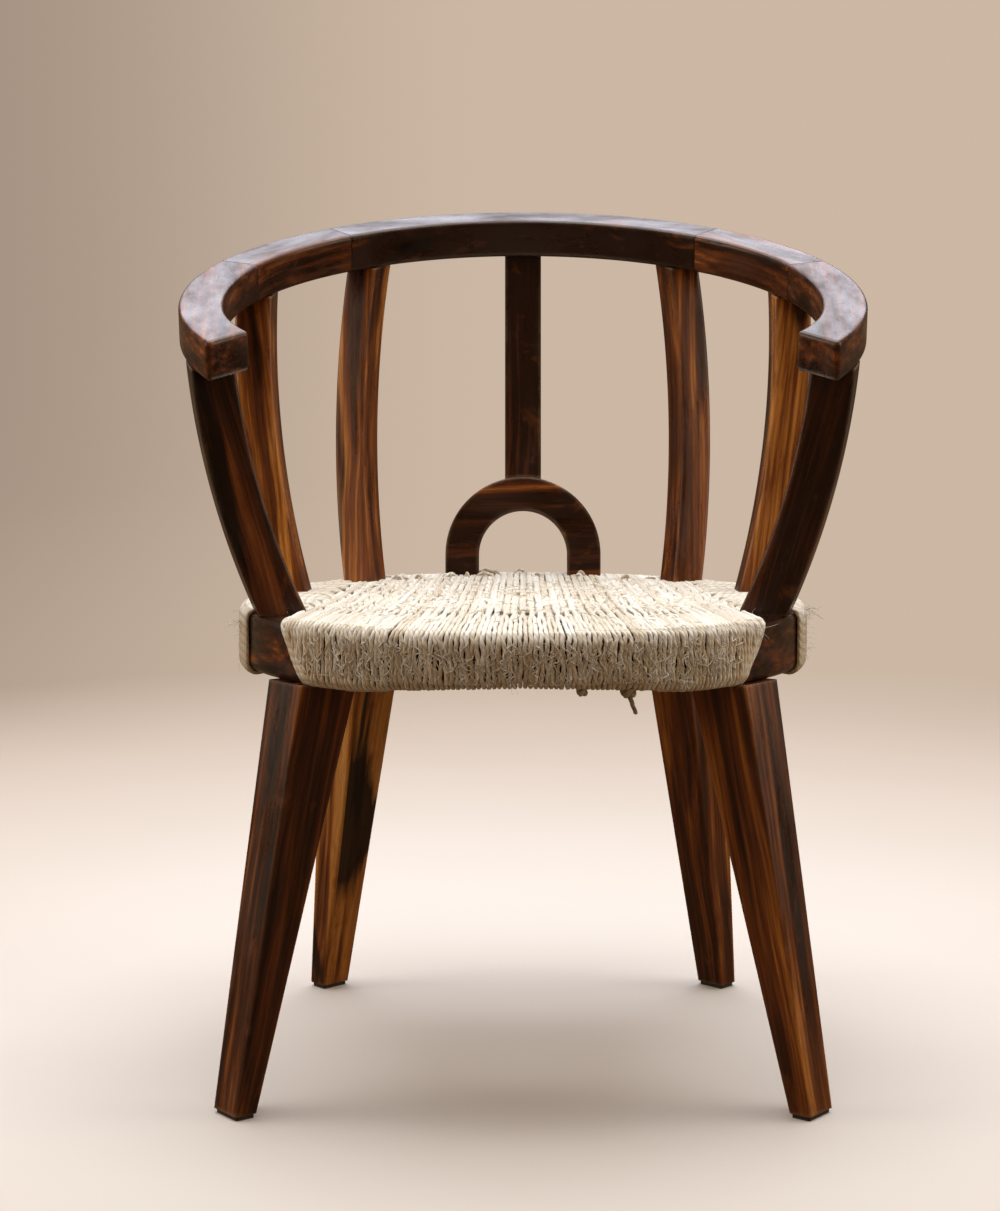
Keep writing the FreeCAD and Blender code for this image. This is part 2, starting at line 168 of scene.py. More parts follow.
class Nodes:
    """A material's tree, with short calls that add a node and link it."""

    def __init__(self, name):
        self.material = bpy.data.materials.new(name)
        self.material.use_nodes = True
        self.tree = self.material.node_tree
        self.tree.nodes.clear()

    def add(self, kind, values=(), **settings):
        made = self.tree.nodes.new(kind)
        for key, value in settings.items():
            setattr(made, key, value)
        for key, value in dict(values).items():
            self.put(made, key, value)
        return made

    def put(self, made, key, value):
        if isinstance(value, bpy.types.NodeSocket):
            self.tree.links.new(value, made.inputs[key])
        else:
            made.inputs[key].default_value = value

    def math(self, operation, first, second=0.0, third=0.0):
        made = self.add("ShaderNodeMath", operation=operation)
        for key, value in enumerate((first, second, third)):
            self.put(made, key, value)
        return made.outputs[0]

    def ramp(self, factor, stops, mode="LINEAR"):
        made = self.add("ShaderNodeValToRGB")
        made.color_ramp.interpolation = mode
        while len(made.color_ramp.elements) < len(stops):
            made.color_ramp.elements.new(0.5)
        for element, (place, colour) in zip(made.color_ramp.elements, stops):
            element.position = place
            element.color = (*colour, 1.0) if isinstance(colour, tuple) else (colour,) * 3 + (1.0,)
        self.put(made, 0, factor)
        return made.outputs[0]

    def mix(self, factor, first, second, blend="MIX"):
        made = self.add("ShaderNodeMix", data_type="RGBA", blend_type=blend)
        self.put(made, 0, factor)
        self.put(made, 6, first)
        self.put(made, 7, second)
        return made.outputs[2]

    def noise(self, vector, scale, detail=3.0, roughness=0.55, distortion=0.0):
        values = {"Vector": vector, "Scale": scale, "Detail": detail, "Roughness": roughness,
                  "Distortion": distortion}
        return self.add("ShaderNodeTexNoise", values).outputs["Fac"]

    def stretched(self, vector, factors):
        made = self.add("ShaderNodeVectorMath", operation="MULTIPLY")
        self.put(made, 0, vector)
        self.put(made, 1, factors)
        return made.outputs[0]

    def bump(self, height, strength, distance, normal=None):
        values = {"Height": height, "Strength": strength, "Distance": distance}
        made = self.add("ShaderNodeBump", values)
        if normal is not None:
            self.put(made, "Normal", normal)
        return made.outputs[0]

    def finish(self, shader):
        output = self.add("ShaderNodeOutputMaterial")
        self.tree.links.new(shader.outputs[0], output.inputs[0])
        return self.material


# Wood

wood_dark = (0.014, 0.0042, 0.0020)
wood_brown = (0.070, 0.0185, 0.0055)
wood_red = (0.180, 0.050, 0.0105)
wood_gold = (0.46, 0.172, 0.031)
wood_pale = (0.64, 0.31, 0.083)
wood_worn = (0.42, 0.27, 0.16)

# Marks for each metre of a piece: along its grain, then across it both ways
sway_stretch = (4.0, 7.0, 7.0)
zone_stretch = (2.2, 15.0, 15.0)
figure_stretch = (1.5, 58.0, 58.0)
streak_stretch = (4.0, 170.0, 170.0)
pore_stretch = (45.0, 1100.0, 1100.0)
heart_stretch = (3.2, 25.0, 25.0)
knot_stretch = (22.0, 34.0, 34.0)
smudge_stretch = (14.0, 40.0, 40.0)
flame_stretch = (6.0, 45.0, 45.0)
grain_places = (3.0, 9.0)
grain_sway = 0.018
wear_reach = 0.0035
edge_softness = 0.0035
joint_line = 0.0004
pore_depth = 0.0002
smudge_depth = 0.0012

# How much each pattern adds to the tone, which also gets the piece's gold less a plain offset
figure_weight = 1.2
zone_weight = 0.95
streak_weight = 0.8
tone_offset = 1.475

# A tongue of painted shade, nearly black, on a leg's inner faces: its place and reach along the
# grain, and how much further it reaches for each metre across. The leg has this half width at its
# middle and gets narrower by the taper for each metre down.
painted_shade_tongues = {"rear_leg_left": (0.02, 0.075, 2.2)}
tongue_flicker = 0.12
tongue_margin = 0.002
leg_half_width = 0.0212
leg_taper = 0.028

# How golden each wooden piece is, and the seed of its grain
wooden = {
    "back_post_left": (0.48, 100),
    "back_post_right": (0.37, 1),
    "side_post_left": (0.42, 34),
    "side_post_right": (0.46, 35),
    "front_post_left": (0.26, 117),
    "front_post_right": (0.32, 118),
    "centre_splat": (0.08, 2),
    "splat_arch": (0.24, 236),
    "front_leg_left": (0.47, 13),
    "front_leg_right": (0.42, 316),
    "rear_leg_left": (0.66, 25),
    "rear_leg_right": (0.50, 28),
    "rail_back": (0.06, 21),
    "rail_shoulder_left": (0.28, 23),
    "rail_shoulder_right": (0.30, 24),
    "rail_arm_left": (0.34, 219),
    "rail_arm_right": (0.34, 220),
    "seat_rail_back": (0.30, 30),
    "seat_rail_left": (0.30, 32),
    "seat_rail_right": (0.28, 33),
    "seat_rail_front": (0.36, 31),
    "rail_dowels": (0.30, 22),
    "seat_dowels": (0.30, 29),
}


def grain_frame(node):
    """The middle of a piece and the turn that takes X along it and Z outward from the chair."""
    points = np.array([vertex.co for vertex in node.data.vertices])
    low, high = points.min(0), points.max(0)
    middle = Vector((low + high) / 2)
    spread = points - points.mean(0)
    directions = np.linalg.eigh(spread.T @ spread)[1]
    along = Vector(directions[:, 2]).normalized()
    outward = Vector((middle.x, middle.y + outline_middle, 0.0))
    if outward.length < ring_inner / 2:
        outward = Vector((0.0, 1.0, 0.0))
    outward = (outward - along * outward.dot(along)).normalized()
    aside = outward.cross(along)
    turn = Matrix((along, aside, outward)).transposed()
    return middle, turn.to_euler()


def joint_mask(made, place, direction, width):
    """One at a joint's plane and zero away from it."""
    coordinates = made.add("ShaderNodeTexCoord").outputs["Object"]
    offset = made.add("ShaderNodeVectorMath", operation="SUBTRACT")
    made.put(offset, 0, coordinates)
    made.put(offset, 1, place)
    reach = made.add("ShaderNodeVectorMath", operation="DOT_PRODUCT")
    made.put(reach, 0, offset.outputs[0])
    made.put(reach, 1, direction)
    distance = made.math("ABSOLUTE", reach.outputs["Value"])
    return made.math("LESS_THAN", distance, width)


def painted_shade_tongue(made, laid, shift, place, reach, spread):
    """Painted shade on a leg's inner faces, furthest along the ridge in front, with a ragged edge.
    """
    parts = made.add("ShaderNodeSeparateXYZ", {0: laid}).outputs
    along = made.math("ADD", parts[0], shift.x)
    across = made.math("ADD", parts[1], shift.y)
    ragged = made.noise(made.stretched(laid, flame_stretch), 1.0, 4.0, 0.6)
    offset = made.math("ABSOLUTE", made.math("SUBTRACT", along, place))
    offset = made.math("MULTIPLY_ADD", made.math("SUBTRACT", ragged, 0.5), tongue_flicker, offset)
    share = made.math("DIVIDE", offset, made.math("MULTIPLY_ADD", across, spread, reach))
    dark = made.ramp(share, [(0.65, 0.06), (1.0, 1.0)])
    edge = made.math("MULTIPLY_ADD", along, -leg_taper, leg_half_width - tongue_margin)
    return made.math("MAXIMUM", dark, made.math("GREATER_THAN", across, edge))


def lay_grain(made, node, shift):
    """Coordinates that run along the piece, and the same with a slow bend."""
    middle, turn = grain_frame(node)
    coordinates = made.add("ShaderNodeTexCoord").outputs["Object"]
    laid = made.add("ShaderNodeMapping", vector_type="TEXTURE")
    made.put(laid, "Vector", coordinates)
    made.put(laid, "Location", middle + turn.to_matrix() @ shift)
    made.put(laid, "Rotation", turn)
    laid = laid.outputs[0]
    sway = made.noise(made.stretched(laid, sway_stretch), 1.0, 2.0)
    swing = made.math("MULTIPLY_ADD", sway, grain_sway, -grain_sway / 2)
    offset = made.add("ShaderNodeCombineXYZ", {1: swing, 2: swing}).outputs[0]
    bent = made.add("ShaderNodeVectorMath", {0: laid, 1: offset}, operation="ADD").outputs[0]
    return laid, bent


def streaky(made, grain, gold):
    """The streaks' colour, from nearly black to pale gold."""
    zones = made.noise(made.stretched(grain, zone_stretch), 1.0, 2.0, 0.5)
    figure = made.noise(made.stretched(grain, figure_stretch), 1.0, 3.0, 0.55, 0.3)
    streaks = made.noise(made.stretched(grain, streak_stretch), 1.0, 3.0, 0.6)
    tone = made.math("MULTIPLY_ADD", figure, figure_weight, gold - tone_offset)
    tone = made.math("MULTIPLY_ADD", zones, zone_weight, tone)
    tone = made.math("MULTIPLY_ADD", streaks, streak_weight, tone)
    return made.ramp(tone, [
        (0.18, wood_dark), (0.38, wood_brown), (0.54, wood_red), (0.72, wood_gold),
        (0.95, wood_pale),
    ])


def worn_and_joined(made, colour, knots, joints):
    """Paler wood where edges are worn, and a dark line at each joint."""
    inside = made.add("ShaderNodeAmbientOcclusion", {"Distance": wear_reach}, samples=4,
                      inside=True, only_local=True)
    edge = made.math("SUBTRACT", 1.0, inside.outputs["AO"])
    worn = made.ramp(made.math("MULTIPLY", edge, knots), [(0.10, 0.0), (0.30, 0.55)])
    for place, direction in joints:
        beside = joint_mask(made, place, direction, wear_reach)
        worn = made.math("MULTIPLY", worn, made.math("SUBTRACT", 1.0, beside))
    colour = made.mix(worn, colour, (*wood_worn, 1.0))
    for place, direction in joints:
        mask = joint_mask(made, place, direction, joint_line)
        colour = made.mix(mask, colour, (*wood_dark, 1.0))
    return colour


def wood(node, seed, gold, joints):
    """Streaky polished wood whose grain runs straight along the piece.

    gold is how much of the piece is golden, from none at 0 to nearly all at 1.
    """
    made = Nodes(f"wood_{node.name}")
    spot = random.Random(seed)
    shift = Vector([spot.uniform(*grain_places) for axis in range(3)])
    laid, grain = lay_grain(made, node, shift)
    colour = streaky(made, grain, gold)

    knots = made.noise(made.stretched(grain, knot_stretch), 1.0, 3.0, 0.6, 0.8)
    patch = made.ramp(knots, [(0.60, 0.0), (0.72, 0.45)])
    colour = made.mix(patch, colour, (*wood_red, 1.0))
    heart = made.noise(made.stretched(grain, heart_stretch), 1.0, 3.0, 0.5, 0.6)
    heart_and_shade = made.ramp(heart, [(0.35, 0.08), (0.42, 1.0)])
    # Painted shade, nearly black, on the inner faces of some legs, multiplied in with the dark
    # heart streaks
    if node.name in painted_shade_tongues:
        tongue = painted_shade_tongue(made, laid, shift, *painted_shade_tongues[node.name])
        heart_and_shade = made.mix(1.0, heart_and_shade, tongue, "MULTIPLY")
    colour = made.mix(1.0, colour, heart_and_shade, "MULTIPLY")
    pores = made.noise(made.stretched(grain, pore_stretch), 1.0, 2.0, 0.6)
    fine = made.ramp(pores, [(0.36, 0.45), (0.5, 1.0)])
    colour = made.mix(0.5, colour, fine, "MULTIPLY")
    colour = worn_and_joined(made, colour, knots, joints)

    smudge = made.noise(made.stretched(grain, smudge_stretch), 1.0, 4.0, 0.65)
    rough = made.ramp(smudge, [(0.30, 0.12), (0.50, 0.30), (0.70, 0.58)])
    rough = made.math("MULTIPLY_ADD", pores, 0.08, rough)
    softened = made.add("ShaderNodeBevel", {"Radius": edge_softness}, samples=6).outputs[0]
    normal = made.bump(pores, 0.2, pore_depth, softened)
    normal = made.bump(smudge, 0.5, smudge_depth, normal)
    shader = made.add("ShaderNodeBsdfPrincipled", {
        "Base Color": colour,
        "Roughness": rough,
        "Normal": normal,
        "IOR": 1.5,
        "Specular IOR Level": 0.30,
        "Specular Tint": (1.0, 0.74, 0.60, 1.0),
        "Coat Weight": 0.14,
        "Coat Roughness": 0.16,
        "Coat IOR": 1.5,
    })
    return made.finish(shader)


def rail_joint(angle):
    """A point and a direction, in the whole chair's frame, of one joint of the rail."""
    place = rail_frame @ polar(rail_middle_radius, angle)
    direction = (rail_frame.to_3x3() @ polar(1.0, angle + 90.0)).normalized()
    return place, direction


def dress_wood():
    joints = [rail_joint(angle) for angle in rail_joints]
    for name, (gold, seed) in wooden.items():
        lines = joints if name.startswith("rail_") else ()
        node = nodes[name]
        node.data.materials.clear()
        node.data.materials.append(wood(node, seed, gold, lines))


# Pads


def pad_material():
    made = Nodes("foot_pad_rubber")
    place = made.add("ShaderNodeTexCoord").outputs["Object"]
    grit = made.noise(place, 900.0, 3.0)
    dust = made.noise(place, 60.0, 3.0)
    colour = made.ramp(dust, [(0.35, (0.012, 0.010, 0.008)), (0.7, (0.045, 0.036, 0.028))])
    rough = made.math("MULTIPLY_ADD", dust, 0.3, 0.55)
    shader = made.add("ShaderNodeBsdfPrincipled", {
        "Base Color": colour,
        "Roughness": rough,
        "Normal": made.bump(grit, 0.4, 0.0002),
    })
    return made.finish(shader)


def dress_pads():
    rubber = pad_material()
    for name, node in nodes.items():
        if "_pad_" in name:
            node.data.materials.clear()
            node.data.materials.append(rubber)


# Cord

cord_cream = (0.95, 0.925, 0.865)
cord_tan = (0.63, 0.515, 0.36)
cord_brown = (0.30, 0.21, 0.13)
twist_length = 0.0075
twist_depth = 0.0006
fibre_stretch = (10.0, 2.6, 1.0)

# The top of the seat stays paler down to this depth, and the winding below it gets painted shade
# that makes it browner and darker
painted_shade_depth = 0.006
top_tone_range = 0.65
painted_side_shade = 0.40


def cord_material(name, pale, deep):
    """Twisted natural fibre. The strands' own map runs round a strand and along it."""
    made = Nodes(name)
    coordinates = made.add("ShaderNodeTexCoord")
    place = coordinates.outputs["Object"]
    across = made.add("ShaderNodeSeparateXYZ", {0: coordinates.outputs["UV"]})
    # The tone attribute holds each strand's random tone, and on the seat's strands also painted
    # shade on the sides and the underside
    tone = made.add("ShaderNodeAttribute", attribute_name="tone").outputs["Fac"]
    turns = made.math("ADD", made.math("MULTIPLY", across.outputs[0], 2.0), across.outputs[1])
    wave = made.math("SINE", made.math("MULTIPLY", turns, 2 * math.pi))
    twist = made.math("MULTIPLY_ADD", wave, 0.5, 0.5)
    fibres = made.stretched(coordinates.outputs["UV"], fibre_stretch)
    fibres = made.noise(fibres, 1.0, 4.0, 0.75)
    patches = made.noise(place, 38.0, 3.0)
    shade = made.math("MULTIPLY_ADD", tone, 0.55, made.math("MULTIPLY", patches, 0.35))
    shade = made.math("MULTIPLY_ADD", fibres, 0.35, shade)
    colour = made.ramp(shade, [(0.30, pale), (0.85, deep)])
    # Painted shade darkens the grooves of the twist
    painted_groove_shade = made.ramp(twist, [(0.0, 0.55), (0.4, 1.0)])
    colour = made.mix(0.6, colour, painted_groove_shade, "MULTIPLY")
    dark_fibres = made.ramp(fibres, [(0.33, 0.45), (0.50, 1.0)])
    colour = made.mix(0.5, colour, dark_fibres, "MULTIPLY")
    height = made.math("MULTIPLY_ADD", fibres, 0.5, twist)
    shader = made.add("ShaderNodeBsdfPrincipled", {
        "Base Color": colour,
        "Roughness": made.math("MULTIPLY_ADD", fibres, 0.2, 0.75),
        "Normal": made.bump(height, 0.55, twist_depth),
        "Specular IOR Level": 0.25,
        "Sheen Weight": 0.25,
        "Sheen Roughness": 0.5,
    })
    return made.finish(shader)


class Strands:
    """Gathers tubes and makes one mesh of them."""

    def __init__(self):
        self.points = []
        self.faces = []
        self.maps = []
        self.tones = []
        self.count = 0

    def tube(self, path, radius, tone, closed=False, sides=6):
        """A round tube along the path, whose radius is one number or one for each point."""
        path = np.asarray(path, float)
        number = len(path)
        if closed:
            before, after = np.roll(path, 1, 0), np.roll(path, -1, 0)
        else:
            before = np.vstack([path[:1], path[:-1]])
            after = np.vstack([path[1:], path[-1:]])
        along = after - before
        along /= np.linalg.norm(along, axis=1)[:, None]
        aside = np.zeros_like(path)
        start = np.array([1.0, 0.2, 0.1]) if abs(along[0][0]) < 0.9 else np.array([0.0, 1.0, 0.2])
        for index in range(number):
            start = start - along[index] * (start @ along[index])
            start /= np.linalg.norm(start)
            aside[index] = start
        above = np.cross(along, aside)
        radius = np.broadcast_to(radius, (number,))
        turn = np.arange(sides) * 2 * np.pi / sides
        ring = (np.cos(turn)[None, :, None] * aside[:, None, :]
                + np.sin(turn)[None, :, None] * above[:, None, :])
        points = path[:, None, :] + ring * radius[:, None, None]
        self.points.append(points.reshape(-1, 3))
        steps = np.linalg.norm(after - path, axis=1)
        length = np.concatenate([[0.0], np.cumsum(steps)]) / twist_length
        spans = number if closed else number - 1
        first = np.arange(spans)[:, None]
        side = np.arange(sides)[None, :]
        following = (first + 1) % number
        beside = (side + 1) % sides
        corner = self.count
        quads = np.stack([first * sides + side, first * sides + beside,
                          following * sides + beside, following * sides + side], -1) + corner
        self.faces.append(quads.reshape(-1, 4))
        near = np.broadcast_to(side / sides, (spans, sides))
        far = np.broadcast_to((side + 1) / sides, (spans, sides))
        here = np.broadcast_to(length[:spans, None], (spans, sides))
        there = np.broadcast_to(length[1:spans + 1, None], (spans, sides))
        corners = np.stack([np.stack([near, here], -1), np.stack([far, here], -1),
                            np.stack([far, there], -1), np.stack([near, there], -1)], 2)
        self.maps.append(corners.reshape(-1, 2))
        self.tones.append(np.repeat(np.broadcast_to(tone, (number,)), sides))
        self.count += number * sides

    def piece(self, name, material, place):
        mesh = bpy.data.meshes.new(name)
        points = np.concatenate(self.points)
        faces = np.concatenate(self.faces)
        mesh.from_pydata(points.tolist(), [], faces.tolist())
        mesh.transform(place)
        layer = mesh.uv_layers.new(name="strand")
        layer.data.foreach_set("uv", np.concatenate(self.maps).astype(np.float32).ravel())
        tones = mesh.attributes.new("tone", "FLOAT", "POINT")
        tones.data.foreach_set("value", np.concatenate(self.tones).astype(np.float32))
        mesh.shade_smooth()
        mesh.materials.append(material)
        made = bpy.data.objects.new(name, mesh)
        bpy.context.scene.collection.objects.link(made)
        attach(made, "root")
        return made


def ramp_share(value):
    """A smooth step from 0 to 1."""
    value = np.clip(value, 0.0, 1.0)
    return value * value * (3 - 2 * value)


def wander(count, size, wavelength, spacing):
    """Smooth small wanderings of a strand, the same on every run."""
    places = np.arange(count) * spacing
    total = np.zeros(count)
    for part in range(3):
        length = wavelength / (1 + part * 0.8)
        total += np.sin(2 * np.pi * (places / length + dice.random())) / (1 + part)
    return total * size / 2


def uneven(count):
    """A strand's radius along its length, a little thicker and thinner by turns."""
    share = dice.uniform(*radius_spread)
    share += wander(count, radius_wander, radius_wave, point_spacing)
    return cord_radius * share


def tone_with_painted_side_shade(path, tone):
    """A strand's tone along its path: its own random tone, and painted shade that makes the sides
    and the underside browner and darker than the top.
    """
    share = ramp_share((-path[:, 2] - painted_shade_depth) / painted_shade_depth)
    return tone * top_tone_range + share * painted_side_shade


def spread_front():
    """Where each front strand crosses the front rail, in degrees from the middle of the back."""
    even = np.linspace(front_wrap_angle, 360 - front_wrap_angle, front_strands)
    moved = even.copy()
    for gap in gap_angles:
        offset = even - gap
        moved += np.sign(offset) * gap_width * np.exp(-np.abs(offset) / gap_reach)
    return moved


front_angles = spread_front()
back_angles = np.linspace(back_wrap_angle, -back_wrap_angle, front_strands)
side_angles = np.linspace(side_wrap_back, side_wrap_front, side_strands)

front_x = ring_outer * np.sin(np.radians(front_angles))
front_y = ring_outer * np.cos(np.radians(front_angles))
back_x = ring_outer * np.sin(np.radians(back_angles))
back_y = ring_outer * np.cos(np.radians(back_angles))
side_y = ring_outer * np.cos(np.radians(side_angles))


def weave_plan():
    """For each crossing of two bundles, 1 where the front bundle is over and -1 where not."""
    front_bundles = front_strands // front_bundle
    side_bundles = side_strands // side_bundle + 1
    plan = np.ones((front_bundles, side_bundles))
    for bundle in range(front_bundles):
        for crossing in range(side_bundles):
            under = (bundle + 2 * crossing) % 4 == 0
            slipped = dice.random() < weave_slips
            plan[bundle, crossing] = -1.0 if under != slipped else 1.0
    return plan


weave = weave_plan()


def woven(bundle, crossing):
    """The plan at a crossing, and 1 in front of the first side bundle."""
    row = np.clip(bundle, 0, weave.shape[0] - 1).astype(int)
    column = np.clip(crossing, 0, weave.shape[1] - 1).astype(int)
    return np.where(crossing < 0, 1.0, weave[row, column])


def smooth_weave(bundle, crossing, along_bundle):
    """The same with soft changes from one bundle to the next."""
    moving = bundle if along_bundle else crossing
    cell = np.floor(moving)
    rest = moving - cell
    if along_bundle:
        here = woven(cell, crossing)
        before, after = woven(cell - 1, crossing), woven(cell + 1, crossing)
    else:
        here = woven(bundle, cell)
        before, after = woven(bundle, cell - 1), woven(bundle, cell + 1)
    start = 0.5 + 0.5 * ramp_share(rest / weave_softness)
    end = 0.5 + 0.5 * ramp_share((1 - rest) / weave_softness)
    rising = here * start + before * (1 - start)
    falling = here * end + after * (1 - end)
    return np.where(rest < 0.5, rising, falling)


def deck_height(x, y):
    """The height of the strands' middle on the seat, which sags a little inside the frame."""
    share = np.clip(1 - (x * x + y * y) / (ring_inner * ring_inner), 0.0, 1.0)
    return cord_rest - deck_sag * share


def around(reach, turned, height):
    """Points at a reach from the seat's middle, at a turn in radians and at a height."""
    return np.stack([reach * np.sin(turned), reach * np.cos(turned), height], -1)


def wrap_section(depth):
    """Radius and height round the outside of the frame, from its top to its underside."""
    bend = ring_edge + cord_rest
    inner = ring_outer - ring_edge
    turns = np.linspace(0, np.pi / 2, bend_points)
    top = [(inner + bend * math.sin(t), -ring_edge + bend * math.cos(t)) for t in turns]
    low = [(inner + bend * math.cos(t), -depth + ring_edge - bend * math.sin(t)) for t in turns]
    walls = np.linspace(top[-1][1], low[0][1], wall_points + 2)[1:-1]
    side = [(inner + bend, height) for height in walls]
    return np.array(top + side + low)


def front_depth(angle):
    """How deep the winding goes: deeper towards the corners, where the frame is deeper."""
    share = min(abs(180 - angle) / corner_offset, 1.0) ** corner_power
    return front_ring_depth + (corner_wrap_depth - front_ring_depth) * share


def front_lean(angle, height):
    """How far round a strand moves towards the middle, where the winding's end slants."""
    end = min(angle - front_wrap_angle, 360 - front_wrap_angle - angle)
    share = np.clip(-height / front_ring_depth, 0.0, wrap_lean_limit)
    gathered = math.degrees(wrap_lean / ring_outer) * share + end * wrap_gather
    moved = np.maximum(gathered - end, 0.0)
    return moved if angle < 180 else -moved


slit_shares = [dice.uniform(0.3, 1.5) for bundle in range(front_strands // front_bundle)]


def front_crossing(y):
    """Which side bundle a front strand crosses at y, and -1 in front of them all."""
    crossing = np.interp(-y, -side_y, np.arange(side_strands)) / side_bundle
    last = (side_strands - 1) / side_bundle
    return np.where(y < side_y[-1], -1.0, last - crossing)


def front_on_top(index, start, end):
    """A front strand's way over the seat, woven, and drawn together in pairs."""
    share = np.linspace(0, 1, front_points)[1:-1]
    x = start[0] + (end[0] - start[0]) * share
    y = start[1] + (end[1] - start[1]) * share
    spacing = abs(end[1] - start[1]) / front_points
    bundle = index // front_bundle
    lift = smooth_weave(bundle, front_crossing(y), False)
    inside = ramp_share((ring_inner - np.hypot(x, y)) / weave_blend)
    z = deck_height(x, y) + (lift - 1.0) * weave_depth * inside
    pair = -1.0 if index % front_bundle == 0 else 1.0
    pinch = slit_pinch * slit_shares[bundle] * np.exp(-((y - slit_place) / slit_width) ** 2)
    pinch += weave_pinch * ramp_share((y - slit_place) / slit_width)
    x += pair * pinch + wander(len(x), front_wander, front_wave, spacing)
    z += wander(len(x), front_lift, front_lift_wave, spacing)
    return np.stack([x, y, z], -1)


def front_below(angle, start, end):
    """A front strand's way back under the seat, and down under the frame's deeper corners."""
    share = np.linspace(0, 1, front_low_points)[1:-1]
    path = start[None, :] + (end - start)[None, :] * share[:, None]
    path[:, 2] += front_low_rise * (1 - (2 * share - 1) ** 2)
    dip = corner_dip * ramp_share((abs(180 - angle) - corner_dip_start) / corner_dip_blend)
    inward = ring_outer - ring_edge - np.hypot(path[:, 0], path[:, 1])
    lowered = np.maximum(end[2] - inward * dip, -ring_depth - cord_rest)
    on_rail = (inward < ring_outer - ring_inner) & (path[:, 1] < 0)
    path[:, 2] = np.where(on_rail, np.minimum(path[:, 2], lowered), path[:, 2])
    return path


def front_strand(index):
    """One turn: over the front rail, across the seat, round the back rail and back below."""
    angle = front_angles[index]
    section = wrap_section(front_depth(angle))
    fade = np.sin(np.linspace(0, np.pi, len(section)))
    wobble = wander(len(section), face_wobble, face_wobble_wave, face_spacing) * fade
    section[:, 0] += wander(len(section), face_bulge, face_bulge_wave, face_spacing) * fade
    turned = np.radians(angle + front_lean(angle, section[:, 1]) + wobble)
    front = around(section[:, 0], turned, section[:, 1])
    section = wrap_section(ring_depth)
    back = around(section[:, 0], np.radians(back_angles[index]), section[:, 1])
    top = front_on_top(index, front[0], back[0])
    below = front_below(angle, back[-1], front[-1])
    return np.concatenate([front[::-1], top, back, below])


def side_on_top(index, start, end):
    """A side strand's way over the seat, under most of the front strands."""
    share = np.linspace(0, 1, side_points)[1:-1]
    x = start[0] + (end[0] - start[0]) * share
    y = np.full_like(x, start[1])
    spacing = abs(end[0] - start[0]) / side_points
    crossing = (side_strands - 1 - index) // side_bundle
    reach = (start[1] - front_y) / (back_y - front_y)
    across = front_x + (back_x - front_x) * reach
    strand = np.interp(-x, -across, np.arange(front_strands))
    lift = smooth_weave(strand / front_bundle, float(crossing), True)
    under = ramp_share((np.abs(across).max() + weave_edge - np.abs(x)) / weave_blend)
    z = deck_height(x, y) - (lift + 1.0) * weave_depth * under
    y = y + wander(len(x), side_wander, side_wave, spacing)
    z = z + wander(len(x), side_lift, side_lift_wave, spacing)
    return np.stack([x, y, z], -1)


def side_strand(index):
    """One turn from side to side."""
    section = wrap_section(ring_depth)
    right = around(section[:, 0], np.radians(side_angles[index]), section[:, 1])
    left = right * np.array([-1.0, 1.0, 1.0])
    top = side_on_top(index, left[0], right[0])
    share = np.linspace(0, 1, side_low_points)[1:-1]
    below = right[-1][None, :] + (left[-1] - right[-1])[None, :] * share[:, None]
    below[:, 2] += side_low_rise * (1 - (2 * share - 1) ** 4)
    return np.concatenate([left[::-1], top, right, below])


def wind_seat(cord):
    strands = Strands()
    for index in range(front_strands):
        path = front_strand(index)
        strands.tube(path, uneven(len(path)), tone_with_painted_side_shade(path, dice.random()), closed=True)
    front = strands.piece("cord_front_to_back", cord, seat_frame)
    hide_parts("cord_wrap_front", "cord_wrap_back", "cord_deck", "cord_deck_underside")
    strands = Strands()
    for index in range(side_strands):
        path = side_strand(index)
        strands.tube(path, uneven(len(path)), tone_with_painted_side_shade(path, dice.random()), closed=True)
    sides = strands.piece("cord_side_to_side", cord, seat_frame)
    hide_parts("cord_wrap_side_right", "cord_wrap_side_left",
                "cord_wrap_shoulder_right", "cord_wrap_shoulder_left")


# The tied end and the lump under the front rail

knot_angle = 159.1
knot_radius = 0.241
knot_height = -0.0483
knot_size = 0.0046
knot_cord = 0.0023
knot_tone = 0.8
tie_offsets = (-0.6, 1.4)
tie_proud = 0.0009
tie_cord = 0.00184
tie_wobble = 0.5
tie_wobble_wave = 0.04
tie_tone = 0.45
tail_lean = 20.0
tail_length = 0.019
tail_points = 12
tail_starts = (0.0, 2.1, 4.2)
tail_twist = 5.0
tail_swing = 0.0009
tail_radius = (0.0014, 0.0010)
tail_tone = 0.9
lump_angle = 168.5
lump_height = -0.0468
lump_size = 0.0030
lump_cord = 0.0018
lump_tone = 0.5


def knot_path(size, count=64):
    """A closed trefoil, the form of a simple tied knot."""
    turn = np.linspace(0, 2 * np.pi, count, endpoint=False)
    x = (np.sin(turn) + 2 * np.sin(2 * turn)) / 3
    y = (np.cos(turn) - 2 * np.cos(2 * turn)) / 3
    z = -np.sin(3 * turn) / 2.2
    return np.stack([x, y, z], -1) * size * 1.1


